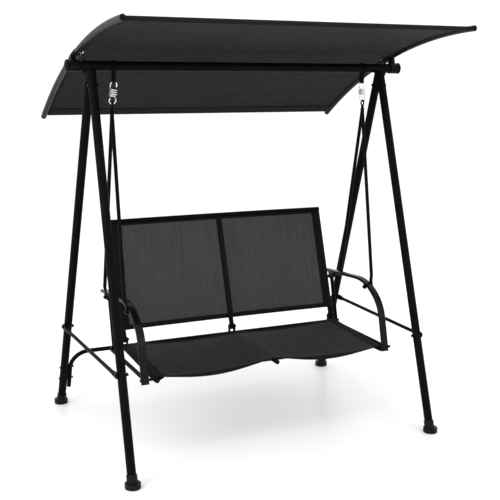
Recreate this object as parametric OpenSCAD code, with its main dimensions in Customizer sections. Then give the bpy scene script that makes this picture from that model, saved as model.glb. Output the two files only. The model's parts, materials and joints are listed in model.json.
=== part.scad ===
// Canopy swing bench: tube stand, tilting canopy, spring-hung two-seat bench.
// Millimetres. X is across the bench, Y runs from front to back, Z is up.
// The origin is on the floor, under the middle of the top beam.

/* [Stand] */
// Height of the top beam's axis above the floor
beam_z = 1620; // [1560:5:1680]
// Outside diameter of the top beam
beam_od = 40; // [36:1:44]
// Half the length of the top beam
beam_half = 776; // [770:1:776]
// Outside diameter of the legs and of the bracket stubs
leg_od = 37; // [34:1:38]
// Distance from the middle to the legs' axes at beam height
apex_x = 696; // [690:1:700]
// Distance from the middle to the front feet, across the bench
foot_x_front = 710; // [704:1:716]
// Distance from the middle to the rear feet, across the bench
foot_x_rear = 728; // [722:1:734]
// Distance from the middle to the feet, front to back
foot_y = 516; // [480:1:540]
// Wall of the stand's tubes
stand_wall = 1.2; // [1:0.1:1.5]
// Height at which each leg enters its bracket stub
stub_end_z = 1518; // [1510:1:1525]
// Height of the bolts through the bracket stubs
stub_bolt_z = 1542; // [1538:1:1546]
// Distance from the middle to the vertical bolt through bracket and beam
beam_bolt_x = 725; // [722:1:728]
// Diameter of the foot caps
cap_od = 64; // [60:1:70]
// Height of a foot cap's base
cap_h = 23; // [20:1:28]
// Length of a foot cap's collar above the base
collar_h = 27; // [20:1:34]
// Height of the side braces
brace_z = 421; // [380:1:470]
// Outside diameter of the side braces
brace_od = 16; // [14:1:20]
// Outside diameter of the rear crossbar
crossbar_od = 20; // [18:1:22]
// Height of the rear crossbar, measured up the rear legs
crossbar_rise = 289; // [270:1:320]
// Bend radius of the rear crossbar
crossbar_bend = 85; // [70:1:100]

/* [Canopy] */
// Forward-up tilt of the canopy
canopy_tilt = 19.1; // [10:0.1:25]
// Distance from the middle to the axes of the curved side tubes
arc_x = 756; // [754:1:758]
// Outside diameter of the curved side tubes
arc_od = 25; // [22:1:26]
// Radius of the curved side tubes
arc_r = 2355; // [2000:5:2800]
// Length of a curved side tube along its bend
arc_length = 1275; // [1200:5:1340]
// Height of the curved side tubes above the beam axis
arc_rise = 50; // [48:1:54]
// Thickness of the canopy fabric
fabric_t = 2; // [1:0.5:3]
// Distance from the ends of the side tubes to the hem tubes
hem_inset = 30; // [24:1:40]
// Outside diameter of the hem tubes
hem_tube_od = 16; // [12:1:18]

/* [Suspension] */
// Distance from the middle to the loops under the beam
loop_x = 600; // [596:1:604]
// Distance from the middle to the hangers
hanger_x = 610; // [608:1:612]
// Height of the swing axis, in the upper hooks
swing_z = 1557; // [1555:1:1559]
// Height of the rocking axis, in the lower hooks
rock_z = 1466; // [1460:1:1470]
// Wire diameter of the springs
wire_od = 5; // [4:0.5:5]
// Outside diameter of the springs' coils
coil_od = 34; // [30:1:36]
// Number of turns in a spring
coil_turns = 3.25; // [2.25:1:4.25]
// Diameter of the hanger bars
hanger_od = 16; // [14:1:16]
// Height where the two bars of a hanger meet
hanger_fork_z = 1430; // [1420:1:1436]

/* [Bench] */
// Distance from the middle to the arms
arm_x = 584; // [582:1:586]
// Width of an arm bar
arm_w = 35; // [32:1:35]
// Thickness of an arm bar
arm_t = 14; // [12:1:15]
// Distance from the middle to the seat's side rails
rail_x = 543; // [540:1:545]
// Outside diameter of the seat's rails
rail_od = 20; // [18:1:22]
// Front end of the side rails, front to back
rail_front_y = -344; // [-360:1:-330]
// Height of the side rails at their front end
rail_front_z = 363; // [358:1:368]
// Rear end of the side rails, front to back
rail_rear_y = 100; // [95:1:110]
// Height of the side rails at their rear end
rail_rear_z = 385; // [380:1:390]
// Height of the middle rail
middle_rail_z = 377; // [372:1:380]
// Sag of the seat cloth between two rails
seat_sag = 13; // [5:1:20]
// Distance from the middle to the back's side posts
post_x = 535; // [533:1:538]
// Outside diameter of the back's posts
post_od = 22; // [20:1:24]
// Backward lean of the back
back_lean = 18.6; // [12:0.1:25]
// How far the middle of the back is set behind its sides
back_bow = 10; // [2:1:20]
// Height of the back's top rail
back_top_z = 920; // [880:5:960]
// Height of the lower edge of the back's cloth
back_low_z = 452; // [446:1:464]

/* [Hidden] */
$fn = 48;

steel = "#141416";
plastic = "#1b1b1d";
cloth = "#2b2b2d";
mesh_cloth = "#3a3a3c";
zinc = "#c9cbcf";

gap = 0.3;
sleeve_od = beam_od + 2 * stand_wall + 0.4;
sleeve_low_x = 668;
sleeve_high_x = 740;
spigot_od = leg_od - 2 * stand_wall - 0.6;
spigot_top_z = 1555;
m6 = 6;
m8 = 8;
bolt_play = 0.4;
brace_x_front = side_x(foot_x_front, brace_z) + leg_od / 2 + 2.8;
brace_x_rear = side_x(foot_x_rear, brace_z) + leg_od / 2 + 2.8;
plane_tilt = atan(foot_y / beam_z);
crossbar_x = foot_x_rear - 4 - leg_od / 2 - crossbar_od / 2;
crossbar_low = 95;
crossbar_bolt_rises = [147, 210];

clamp_low_x = 749;
clamp_high_x = 779;
clamp_od = 48;
clamp_play = 0.16;
arc_half = arc_length / arc_r * 90 / PI;
arc_centre_z = arc_rise - arc_r;
hem_angle = arc_half - hem_inset * 180 / (PI * arc_r);
knob_x = 781;
knob_od = 51;
stud_od = 8;
nut_low_x = 756;

hook_r = 14;
coil_r = (coil_od - wire_od) / 2;
coil_top_z = 1525;
coil_low_z = 1497;
spring_lean = atan((hanger_x - 2 - loop_x) / (swing_z - rock_z));
strap_t = 3;
strap_w = 12;
strap_r = 9;

front_bolt = [-142, 609];
rear_bolt = [155, 604];
lug_r = 11;
lug_t = 3.5;
lug_let_in = 4;
arm_front_under = 615;
lug_spread = 14;
hanger_flat_x = 605.5;
hanger_flat_t = 5;
hanger_start = 62;
arm_rise = 4.5;
arm_rear_y = 245;
arm_rear_z = 611;
arm_rear_length = 291.9;
arm_bend_a = [240, 44.5];
arm_bend_b = [170, 35.6];
arm_front_length = 152;
side_post_x = 578;
side_post_od = 18;
side_post_top = [183, 602];
side_post_low = [121.5, 367];
side_post_pin = [180.4, 592];
side_post_reach = side_post_od / 2 + gap + 1.75;
side_bar_y_front = -311;
side_bar_y_rear = 142;
side_bar_z = 361;
pivot_z = 411;
back_low_y = 120;
bracket_t = 3;
front_tube = [-250, 357];
rear_tube = [106, 380];
post_bolt = [124, 376.5];
arm_link = [-314, 361];
corner_plate_x = rail_x + rail_od / 2 + bracket_t / 2;
sling_t = 3;
sling_front_y = -332;
sling_rear_y = 93;
sling_steps = 28;
sling_rows = 8;

// ---- places that several sub-parts share ----

// Distance from the middle to a leg's axis at a height
function side_x(foot_x, z) = apex_x + (foot_x - apex_x) * (1 - z / beam_z);

// Point on a leg's axis at a height: side is -1 left or 1 right, way is -1 front or 1 rear
function leg_at(side, way, z) =
    let (foot_x = way < 0 ? foot_x_front : foot_x_rear)
    [side * side_x(foot_x, z), way * foot_y * (1 - z / beam_z), z];

// Height of a side rail's axis
function rail_z(y) =
    rail_front_z + (rail_rear_z - rail_front_z) * (y - rail_front_y) / (rail_rear_y - rail_front_y);

// Point on the back's plane at a height, across the bench
function back_at(x, z) =
    [x, back_low_y + (z - back_low_z) * tan(back_lean) + back_bow * (1 - pow(x / post_x, 2)), z];

// Height of the seat cloth's lower face
function sling_z(x, y) =
    let (u = abs(x) / rail_x)
    (middle_rail_z * (1 - u) + rail_z(y) * u) + rail_od / 2 + 0.4 - seat_sag * 4 * u * (1 - u);

// ---- building blocks ----

// Round bar from one point to another
module rod(p, q, d) {
    v = q - p;
    length = norm(v);
    translate(p)
        rotate([0, acos(v[2] / length), atan2(v[1], v[0])])
            cylinder(h = length, d = d);
}

// Round tube from one point to another
module tube(p, q, d, wall) {
    u = (q - p) / norm(q - p);
    difference() {
        rod(p, q, d);
        rod(p - u, q + u, d - 2 * wall);
    }
}

// Cross-section of a round tube
module ring(d, wall) {
    difference() {
        circle(d = d);
        circle(d = d - 2 * wall);
    }
}

// Flat oval, its width along the second axis
module oval(t, w) {
    square([t, w - t], center = true);
    for (end = [-1, 1])
        translate([0, end * (w - t) / 2])
            circle(d = t);
}

// Straight run of a section along the first axis
module run(length) {
    rotate([90, 0, 90])
        linear_extrude(length)
            children();
}

// Bend of a section that turns away from the second axis
module bend(radius, angle) {
    translate([0, -radius, 0])
        rotate([0, 0, 90 - angle])
            rotate_extrude(angle = angle)
                translate([radius, 0])
                    children();
}

// Moves to the far end of a run
module after_run(length) {
    translate([length, 0, 0])
        children();
}

// Moves to the far end of a bend
module after_bend(radius, angle) {
    translate([radius * sin(angle), radius * cos(angle) - radius, 0])
        rotate([0, 0, -angle])
            children();
}

// Hexagon-head bolt along X: head outside, nut inside
module cross_bolt(head_x, nut_x, y, z, d) {
    way = sign(head_x - nut_x);
    rod([nut_x, y, z], [head_x, y, z], d);
    rod([head_x, y, z], [head_x + way * d * 0.6, y, z], d * 1.75);
    translate([nut_x, y, z])
        rotate([0, way * 90, 0])
            cylinder(h = d * 0.8, d = d * 1.9, $fn = 6);
}

// Plate in the YZ plane with a round end about a bolt, and its hole
module lug(x, y, z, top_z, radius, thickness, hole) {
    translate([x, y, z])
        rotate([90, 0, 90])
            linear_extrude(thickness, center = true)
                difference() {
                    union() {
                        circle(radius);
                        translate([-radius, 0])
                            square([2 * radius, top_z - z]);
                    }
                    circle(d = hole);
                }
}

// Rings of a round wire along a list of points, joined into one closed skin
function transport(path, i, up) =
    let (
        t = unit(path[min(i + 1, len(path) - 1)] - path[max(i - 1, 0)]),
        side = unit(cross(t, up)),
        next_up = cross(side, t)
    )
    i == len(path) - 1 ? [[side, next_up]] : concat([[side, next_up]], transport(path, i + 1, next_up));
function unit(v) = v / norm(v);
module wire(path, d, up, sides = 10) {
    frames = transport(path, 0, up);
    last = len(path) - 1;
    points = [
        for (i = [0:last], k = [0:sides - 1])
            path[i] + d / 2 * (cos(360 * k / sides) * frames[i][0] + sin(360 * k / sides) * frames[i][1])
    ];
    walls = [
        for (i = [0:last - 1], k = [0:sides - 1])
            let (a = i * sides + k, b = i * sides + (k + 1) % sides)
            [a, a + sides, b + sides, b]
    ];
    first_end = [for (k = [0:sides - 1]) k];
    last_end = [for (k = [0:sides - 1]) last * sides + sides - 1 - k];
    polyhedron(points, concat(walls, [first_end], [last_end]));
}

// ---- stand ----

module top_beam() {
    color(steel)
        difference() {
            tube([-beam_half, 0, beam_z], [beam_half, 0, beam_z], beam_od, stand_wall);
            for (side = [-1, 1])
                translate([side * beam_bolt_x, 0, beam_z - beam_od])
                    cylinder(h = 2 * beam_od, d = m8 + bolt_play);
        }
}

module beam_end_nuts() {
    color(plastic)
        for (side = [-1, 1])
            difference() {
                rod([side * nut_low_x, 0, beam_z], [side * beam_half, 0, beam_z],
                    beam_od - 2 * stand_wall - 0.2);
                rod([side * (nut_low_x - 1), 0, beam_z], [side * (beam_half + 1), 0, beam_z],
                    stud_od + 0.2);
            }
}

module bracket(side) {
    color(steel)
        difference() {
            union() {
                rod([side * sleeve_low_x, 0, beam_z], [side * sleeve_high_x, 0, beam_z], sleeve_od);
                for (way = [-1, 1])
                    rod(leg_at(side, way, beam_z - 2), leg_at(side, way, stub_end_z), leg_od);
            }
            rod([side * (sleeve_low_x - 1), 0, beam_z], [side * (sleeve_high_x + 1), 0, beam_z],
                beam_od + 0.4);
            for (way = [-1, 1]) {
                rod(leg_at(side, way, beam_z - sleeve_od / 2 - 4), leg_at(side, way, stub_end_z - 2),
                    leg_od - 2 * stand_wall);
                translate([0, leg_at(side, way, stub_bolt_z)[1], stub_bolt_z])
                    rotate([0, side * 90, 0])
                        cylinder(h = apex_x + leg_od, d = m6 + bolt_play);
            }
            translate([side * beam_bolt_x, 0, beam_z - beam_od])
                cylinder(h = 2 * beam_od, d = m8 + bolt_play);
        }
}
module bracket_left() { bracket(-1); }
module bracket_right() { bracket(1); }

module leg(side, way) {
    foot_x = way < 0 ? foot_x_front : foot_x_rear;
    color(steel)
        difference() {
            union() {
                rod(leg_at(side, way, cap_h - 6), leg_at(side, way, stub_end_z - gap), leg_od);
                rod(leg_at(side, way, stub_end_z - 20), leg_at(side, way, spigot_top_z), spigot_od);
            }
            rod(leg_at(side, way, cap_h - 12), leg_at(side, way, stub_end_z - 6), leg_od - 2 * stand_wall);
            rod(leg_at(side, way, stub_end_z - 8), leg_at(side, way, spigot_top_z + 6),
                spigot_od - 2 * stand_wall);
            translate([0, leg_at(side, way, stub_bolt_z)[1], stub_bolt_z])
                rotate([0, side * 90, 0])
                    cylinder(h = apex_x + leg_od, d = m6 + bolt_play);
            translate([0, leg_at(side, way, brace_z)[1], brace_z])
                rotate([0, side * 90, 0])
                    cylinder(h = foot_x + leg_od, d = m8 + bolt_play);
            if (way > 0)
                for (rise = crossbar_bolt_rises)
                    translate([0, crossbar_point(0, rise)[1], crossbar_point(0, rise)[2]])
                        rotate([0, side * 90, 0])
                            cylinder(h = foot_x + leg_od, d = m6 + bolt_play);
        }
}
module leg_front_left() { leg(-1, -1); }
module leg_front_right() { leg(1, -1); }
module leg_rear_left() { leg(-1, 1); }
module leg_rear_right() { leg(1, 1); }

module foot(side, way) {
    centre = leg_at(side, way, 0);
    collar_top = leg_at(side, way, cap_h + collar_h);
    color(plastic)
        difference() {
            union() {
                translate([centre[0], centre[1], 0])
                    cylinder(h = 3, d1 = cap_od - 4, d2 = cap_od);
                translate([centre[0], centre[1], 3])
                    cylinder(h = cap_h - 5, d = cap_od);
                translate([centre[0], centre[1], cap_h - 2])
                    cylinder(h = 2, d1 = cap_od, d2 = cap_od - 4);
                rod(leg_at(side, way, cap_h - 8), collar_top, leg_od + 7);
            }
            rod(leg_at(side, way, cap_h - 6.5), leg_at(side, way, cap_h + collar_h + 5), leg_od + gap);
        }
}
module foot_front_left() { foot(-1, -1); }
module foot_front_right() { foot(1, -1); }
module foot_rear_left() { foot(-1, 1); }
module foot_rear_right() { foot(1, 1); }

// Flattened end of a brace about its bolt, with the tube's axis running towards +Y
module brace_end() {
    difference() {
        rotate([0, 90, 0])
            translate([0, 0, -2.5])
                linear_extrude(5)
                    union() {
                        circle(d = 26);
                        translate([-13, 0])
                            square([26, 24]);
                    }
        rotate([0, 90, 0])
            cylinder(h = 20, d = m8 + bolt_play, center = true);
    }
    hull() {
        translate([-2.5, 23, -13])
            cube([5, 1, 26]);
        translate([0, 58, 0])
            rotate([-90, 0, 0])
                cylinder(h = 1, d = brace_od, $fn = 32);
    }
}

module brace(side) {
    front = [side * brace_x_front, leg_at(side, -1, brace_z)[1], brace_z];
    rear = [side * brace_x_rear, leg_at(side, 1, brace_z)[1], brace_z];
    span = norm(rear - front);
    yaw = -atan2(rear[0] - front[0], rear[1] - front[1]);
    color(steel)
        translate(front)
            rotate([0, 0, yaw]) {
                brace_end();
                translate([0, span, 0])
                    rotate([0, 0, 180])
                        brace_end();
                tube([0, 58, 0], [0, span - 58, 0], brace_od, stand_wall);
            }
}
module brace_left() { brace(-1); }
module brace_right() { brace(1); }

// Point in the plane of the rear legs: across, and up the slope from the floor
function crossbar_point(x, rise) =
    [x, foot_y - rise * sin(plane_tilt), rise * cos(plane_tilt)];

module rear_crossbar() {
    up = crossbar_rise - crossbar_bend - crossbar_low;
    level = 2 * (crossbar_x - crossbar_bend);
    color(steel)
        difference() {
            translate(crossbar_point(-crossbar_x, crossbar_low))
                rotate([90 + plane_tilt, 0, 0])
                    rotate([0, 0, 90]) {
                        run(up)
                            ring(crossbar_od, stand_wall);
                        after_run(up) {
                            bend(crossbar_bend, 90)
                                ring(crossbar_od, stand_wall);
                            after_bend(crossbar_bend, 90) {
                                run(level)
                                    ring(crossbar_od, stand_wall);
                                after_run(level) {
                                    bend(crossbar_bend, 90)
                                        ring(crossbar_od, stand_wall);
                                    after_bend(crossbar_bend, 90)
                                        run(up)
                                            ring(crossbar_od, stand_wall);
                                }
                            }
                        }
                    }
            for (rise = crossbar_bolt_rises)
                translate(crossbar_point(0, rise))
                    rotate([0, 90, 0])
                        cylinder(h = 3 * crossbar_x, d = m6 + bolt_play, center = true);
        }
}

// Strap that goes over the beam and hangs below it in a round loop
module beam_loop(side) {
    inner_r = beam_od / 2 + 0.1;
    low_z = swing_z - wire_od / 2 - 2.2 + strap_r;
    high_z = beam_z - sqrt(pow(inner_r + strap_t / 2, 2) - pow(strap_r + strap_t, 2));
    color(steel)
        translate([side * loop_x - strap_w / 2, 0, 0])
            rotate([90, 0, 90])
                linear_extrude(strap_w) {
                    translate([0, beam_z])
                        difference() {
                            circle(inner_r + strap_t);
                            circle(inner_r);
                            translate([-strap_r, -2 * beam_od])
                                square([2 * strap_r, 2 * beam_od]);
                        }
                    for (way = [-1, 1])
                        translate([way * (strap_r + strap_t / 2) - strap_t / 2, low_z])
                            square([strap_t, high_z - low_z]);
                    translate([0, low_z])
                        difference() {
                            circle(strap_r + strap_t);
                            circle(strap_r);
                            translate([-2 * strap_r, 0])
                                square([4 * strap_r, 2 * strap_r]);
                        }
                }
}
module beam_loop_left() { beam_loop(-1); }
module beam_loop_right() { beam_loop(1); }

module bracket_bolts() {
    half = leg_od / 2;
    color(steel)
        for (side = [-1, 1]) {
            for (way = [-1, 1]) {
                at = leg_at(side, way, stub_bolt_z);
                cross_bolt(at[0] + side * (half + gap), at[0] - side * (half + 6), at[1], at[2], m6);
            }
            translate([side * beam_bolt_x, 0, beam_z - sleeve_od / 2 - 12])
                cylinder(h = sleeve_od + 12 + gap, d = m8);
            translate([side * beam_bolt_x, 0, beam_z + sleeve_od / 2 + gap])
                cylinder(h = 5, d = 14);
            translate([side * beam_bolt_x, 0, beam_z - sleeve_od / 2 - 7])
                cylinder(h = 6.5, d = 14.5, $fn = 6);
        }
}

module brace_bolts() {
    color(steel)
        for (side = [-1, 1], way = [-1, 1]) {
            at = leg_at(side, way, brace_z);
            x = abs(at[0]);
            cross_bolt(side * (x + leg_od / 2 + 5.6), side * (x - leg_od / 2 - 8), at[1], at[2], m8);
        }
}

module crossbar_bolts() {
    color(steel)
        for (side = [-1, 1], rise = crossbar_bolt_rises) {
            at = crossbar_point(0, rise);
            x = side_x(foot_x_rear, at[2]);
            cross_bolt(side * (x + leg_od / 2 + gap), side * (crossbar_x - crossbar_od / 2 - 6),
                       at[1], at[2], m6);
        }
}

// ---- canopy ----

// Canopy frame: origin on the beam axis, tilted with the canopy
module canopy_frame() {
    translate([0, 0, beam_z])
        rotate([-canopy_tilt, 0, 0])
            children();
}

// Bend of a section about the canopy's centre of curvature, from one angle to another
module canopy_sweep(x, from, to) {
    canopy_frame()
        translate([x, 0, arc_centre_z])
            rotate([0, -90, 0])
                rotate([0, 0, from])
                    rotate_extrude(angle = to - from, $fn = 96)
                        translate([arc_r, 0])
                            children();
}

module canopy_arc(side) {
    color("#3a3b3d")
        canopy_sweep(side * arc_x, -arc_half, arc_half)
            ring(arc_od, 1.2);
}
module canopy_arc_left() { canopy_arc(-1); }
module canopy_arc_right() { canopy_arc(1); }

module canopy_tube(angle) {
    half = arc_x - arc_od / 2;
    color(steel)
        canopy_frame()
            translate([0, 0, arc_centre_z])
                rotate([-angle, 0, 0])
                    tube([-half, 0, arc_r], [half, 0, arc_r], hem_tube_od, 1);
}
module canopy_tube_front() { canopy_tube(-hem_angle); }
module canopy_tube_rear() { canopy_tube(hem_angle); }

module canopy_fabric() {
    width = 2 * (arc_x - arc_od / 2 - gap);
    edge = hem_angle - (hem_tube_od / 2 + gap) * 180 / (PI * arc_r);
    notch = 30;
    color(cloth)
        difference() {
            canopy_sweep(0, -edge, edge)
                square([fabric_t, width], center = true);
            canopy_frame()
                for (side = [-1, 1])
                    translate([side * arc_x - notch, -notch, arc_rise - notch])
                        cube(2 * notch);
        }
}

module canopy_clamp(side) {
    neck_w = 20;
    neck_y = 26;
    mid_x = side * (clamp_high_x - neck_w / 2);
    color(plastic)
        canopy_frame()
            difference() {
                union() {
                    rod([side * clamp_low_x, 0, 0], [side * (clamp_high_x + 1), 0, 0], clamp_od);
                    translate([mid_x - neck_w / 2, -neck_y / 2, clamp_od / 2 - 6])
                        cube([neck_w, neck_y, arc_rise - clamp_od / 2]);
                    translate([side * arc_x - arc_od / 2 - 3, -25, arc_rise - arc_od / 2 - 3])
                        cube([arc_od + 6, 50, arc_od / 2 + 3]);
                }
                rod([side * (clamp_low_x - 1), 0, 0], [side * (beam_half + gap), 0, 0],
                    beam_od + clamp_play);
                rod([side * beam_half, 0, 0], [side * (clamp_high_x + 5), 0, 0], stud_od + 0.8);
                rod([side * arc_x, -60, arc_rise], [side * arc_x, 60, arc_rise], arc_od + 2 * gap);
            }
}
module canopy_clamp_left() { canopy_clamp(-1); }
module canopy_clamp_right() { canopy_clamp(1); }

// Straps over the side tubes, each with its bolt beside the tube
module canopy_straps() {
    color(steel)
        canopy_frame()
            for (side = [-1, 1], y = [-16, 16]) {
                translate([side * arc_x, y, arc_rise])
                    rotate([90, 0, 0])
                        linear_extrude(12, center = true)
                            difference() {
                                union() {
                                    circle(d = arc_od + 2 * gap + 4);
                                    translate([-side * (arc_od / 2 + 7), 1.2])
                                        square([14, 2.4], center = true);
                                }
                                circle(d = arc_od + 2 * gap);
                                translate([-2 * arc_od, -2 * arc_od])
                                    square([4 * arc_od, 2 * arc_od]);
                            }
                translate([side * (arc_x - arc_od / 2 - 10), y, arc_rise - 14])
                    cylinder(h = 17.5, d = 5);
                translate([side * (arc_x - arc_od / 2 - 10), y, arc_rise + 2.4])
                    cylinder(h = 4, d = 9);
                translate([side * (arc_x - arc_od / 2 - 10), y, arc_rise - 12])
                    cylinder(h = 4.5, d = 10, $fn = 6);
            }
}

module canopy_plugs() {
    color(plastic)
        for (side = [-1, 1], way = [-1, 1])
            canopy_frame()
                translate([side * arc_x, 0, arc_centre_z])
                    rotate([-way * arc_half, 0, 0])
                        translate([0, 0, arc_r])
                            rotate([-way * 90, 0, 0]) {
                                translate([0, 0, 0.1])
                                    cylinder(h = 3, d1 = arc_od, d2 = arc_od - 4);
                                translate([0, 0, -12])
                                    cylinder(h = 12.1, d = arc_od - 3);
                            }
}

module knob(side) {
    grip_r = knob_od / 2;
    color(plastic)
        translate([side * knob_x, 0, beam_z])
            rotate([0, side * 90, 0]) {
                rotate_extrude()
                    difference() {
                        union() {
                            square([grip_r - 2, 9]);
                            translate([0, 9])
                                square([grip_r - 4, 3]);
                            translate([0, 12])
                                square([grip_r, 6]);
                            translate([0, 18])
                                intersection() {
                                    translate([0, 7 - 49.5])
                                        circle(49.5);
                                    square([grip_r, 8]);
                                }
                        }
                        translate([-100, -1])
                            square([100, 60]);
                    }
                translate([0, 0, nut_low_x + 4 - knob_x])
                    cylinder(h = knob_x - nut_low_x, d = stud_od);
            }
}
module knob_left() { knob(-1); }
module knob_right() { knob(1); }

// ---- suspension ----

// Local spring axis: leans from the loop out to the hanger's eye
function lean_x(side, z) = side * (loop_x + (swing_z - z) * tan(spring_lean));

// Open hook, then the coil, as one wire
function spring_path(side) =
    let (
        hook_z = swing_z - hook_r,
        steps = ceil(coil_turns * 14),
        hook = [
            for (a = [-20:20:230])
                [lean_x(side, hook_z + hook_r * sin(a)) + hook_r * cos(a), 0, hook_z + hook_r * sin(a)]
        ],
        coil = [
            for (i = [0:steps])
                let (
                    a = 200 + 360 * coil_turns * i / steps,
                    z = coil_top_z - (coil_top_z - coil_low_z) * i / steps
                )
                [lean_x(side, z) + coil_r * cos(a), coil_r * sin(a), z]
        ]
    )
    concat(hook, coil);

module spring(side) {
    color(zinc)
        wire(spring_path(side), wire_od, [0, 1, 0]);
}
module spring_left() { spring(-1); }
module spring_right() { spring(1); }

module spring_hooks() {
    hook_z = rock_z + hook_r;
    color(zinc)
        for (side = [-1, 1])
            translate([lean_x(side, hook_z), 0, hook_z])
                rotate([90, 0, 0])
                    rotate([0, 0, 115])
                        rotate_extrude(angle = 300)
                            translate([hook_r, 0])
                                circle(d = wire_od);
}

// Unit vector from the fork down a hanger bar
function bar_way(bolt) = unit([0, bolt[0], bolt[1] - hanger_fork_z]);

module hanger_head(side) {
    eye_r = 8;
    eye_t = 7;
    eye_z = rock_z + wire_od / 2 + 0.4 - eye_r;
    fork = [side * hanger_x, 0, hanger_fork_z];
    color(steel) {
        translate([side * (hanger_x - 1), 0, eye_z])
            rotate([0, 90, 0])
                rotate_extrude()
                    translate([eye_r + eye_t / 2, 0])
                        circle(d = eye_t);
        rod([side * hanger_x, 0, eye_z - eye_r - 4], fork, hanger_od - 3);
        sphere_at(fork, hanger_od + 3);
        for (bolt = [front_bolt, rear_bolt])
            rod(fork, fork + bar_way(bolt) * hanger_start, hanger_od);
    }
}
module sphere_at(p, d) {
    translate(p)
        sphere(d = d);
}
module hanger_head_left() { hanger_head(-1); }
module hanger_head_right() { hanger_head(1); }

// Tube from the hanger's fork to a bolt on the arm, flattened at its lower end
module hanger_bar(side, bolt) {
    way = bar_way(bolt);
    reach = norm([bolt[0], bolt[1] - hanger_fork_z]);
    flat = 26;
    lean = atan2(bolt[0], hanger_fork_z - bolt[1]);
    color(steel) {
        tube([side * hanger_x, 0, hanger_fork_z] + way * (hanger_start + 0.05),
             [side * hanger_x, 0, hanger_fork_z] + way * (reach - flat - 23.5), hanger_od, 1.2);
        translate([side * hanger_flat_x, bolt[0], bolt[1]])
            rotate([lean, 0, 0]) {
                hull() {
                    translate([-hanger_flat_t / 2, -11, flat - 1])
                        cube([hanger_flat_t, 22, 1]);
                    translate([side * (hanger_x - hanger_flat_x), 0, flat + 23])
                        cylinder(h = 6, d = hanger_od - 1.2, $fn = 32);
                }
                rotate([0, 90, 0])
                    linear_extrude(hanger_flat_t, center = true)
                        difference() {
                            union() {
                                circle(d = 22);
                                translate([-flat, -11])
                                    square([flat, 22]);
                            }
                            circle(d = m8 + bolt_play);
                        }
            }
    }
}
module hanger_front_left() { hanger_bar(-1, front_bolt); }
module hanger_front_right() { hanger_bar(1, front_bolt); }
module hanger_rear_left() { hanger_bar(-1, rear_bolt); }
module hanger_rear_right() { hanger_bar(1, rear_bolt); }

// ---- bench ----

// Height of an arm's axis on its straight rear run
function arm_z(y) = arm_rear_z + (arm_rear_y - y) * tan(arm_rise);

// Stations of an arc in the arm's plane: y, z and the heading's rise, from one rise to another
function arm_arc(start, radius, to, steps) =
    let (
        from = start[2],
        centre = [start[0] - radius * sin(from), start[1] - radius * cos(from)]
    )
    [
        for (i = [0:steps])
            let (a = from + (to - from) * i / steps)
            [centre[0] + radius * sin(a), centre[1] + radius * cos(a), a]
    ];

// Station further on along a straight run
function arm_ahead(at, length) = [at[0] - length * cos(at[2]), at[1] + length * sin(at[2]), at[2]];

// Stations of an arm from its rear end to its front end
function arm_path() =
    let (
        rear = [arm_rear_y, arm_rear_z, arm_rise],
        first = arm_arc(arm_ahead(rear, arm_rear_length), arm_bend_a[0], arm_rise - arm_bend_a[1], 9),
        second = arm_arc(first[9], arm_bend_b[0], arm_rise - arm_bend_a[1] - arm_bend_b[1], 8)
    )
    concat([rear], first, [for (i = [1:8]) second[i]], [arm_ahead(second[8], arm_front_length)]);

// Points round a flat oval: thickness, width
function oval_points(t, w) =
    [
        for (end = [0, 1], a = [-90:18:90])
            [t / 2 * sin(a + 180 * end), t / 2 * cos(a + 180 * end) + (0.5 - end) * (w - t)]
    ];

// Hollow flat-oval bar along an arm's stations
module arm_bar(side, path) {
    outer = oval_points(arm_t, arm_w);
    inner = oval_points(arm_t - 3, arm_w - 3);
    count = len(outer);
    last = len(path) - 1;
    points = [
        for (section = [outer, inner], at = path, p = section)
            [side * arm_x + p[1], at[0] + p[0] * sin(at[2]), at[1] + p[0] * cos(at[2])]
    ];
    shell = count * (last + 1);
    walls = [
        for (i = [0:last - 1], k = [0:count - 1])
            let (a = i * count + k, b = i * count + (k + 1) % count)
            each [
                [a, a + count, b + count, b],
                [a + shell, b + shell, b + count + shell, a + count + shell]
            ]
    ];
    ends = [
        for (k = [0:count - 1])
            let (a = k, b = (k + 1) % count, c = last * count)
            each [[a, b, b + shell, a + shell], [c + a, c + a + shell, c + b + shell, c + b]]
    ];
    polyhedron(points, concat(walls, ends));
}

module arm(side) {
    color(steel) {
        arm_bar(side, arm_path());
        for (x = [arm_x - lug_spread, arm_x + lug_spread]) {
            arm_lug(side * x, front_bolt, arm_front_under);
            arm_lug(side * x, rear_bolt, arm_z(rear_bolt[0]) - arm_t / 2);
        }
        for (offset = [-1, 1])
            arm_lug(side * side_post_x + offset * side_post_reach, side_post_pin,
                    arm_z(side_post_pin[0]) - arm_t / 2);
    }
}

// Lug welded under an arm, let into the arm's rounded underside
module arm_lug(x, bolt, under_z) {
    lug(x, bolt[0], bolt[1], under_z + lug_let_in, lug_r, lug_t, m8 + bolt_play);
}
module arm_left() { arm(-1); }
module arm_right() { arm(1); }

// Tube from under the rear of the arm down to the lower side bar
module side_post(side) {
    top = [side * side_post_x, side_post_top[0], side_post_top[1]];
    low = [side * side_post_x, side_post_low[0], side_post_low[1]];
    color(steel)
        difference() {
            tube(top, low, side_post_od, 1.2);
            side_bar_rod(side);
            for (bolt = [post_bolt, side_post_pin])
                rod([0, bolt[0], bolt[1]], [side * hanger_x, bolt[0], bolt[1]], m8 + bolt_play);
        }
}
module side_post_left() { side_post(-1); }
module side_post_right() { side_post(1); }

// Outer form of a lower side bar
module side_bar_rod(side) {
    rod([side * arm_x, side_bar_y_front, side_bar_z], [side * arm_x, side_bar_y_rear, side_bar_z],
        side_post_od);
}

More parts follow.
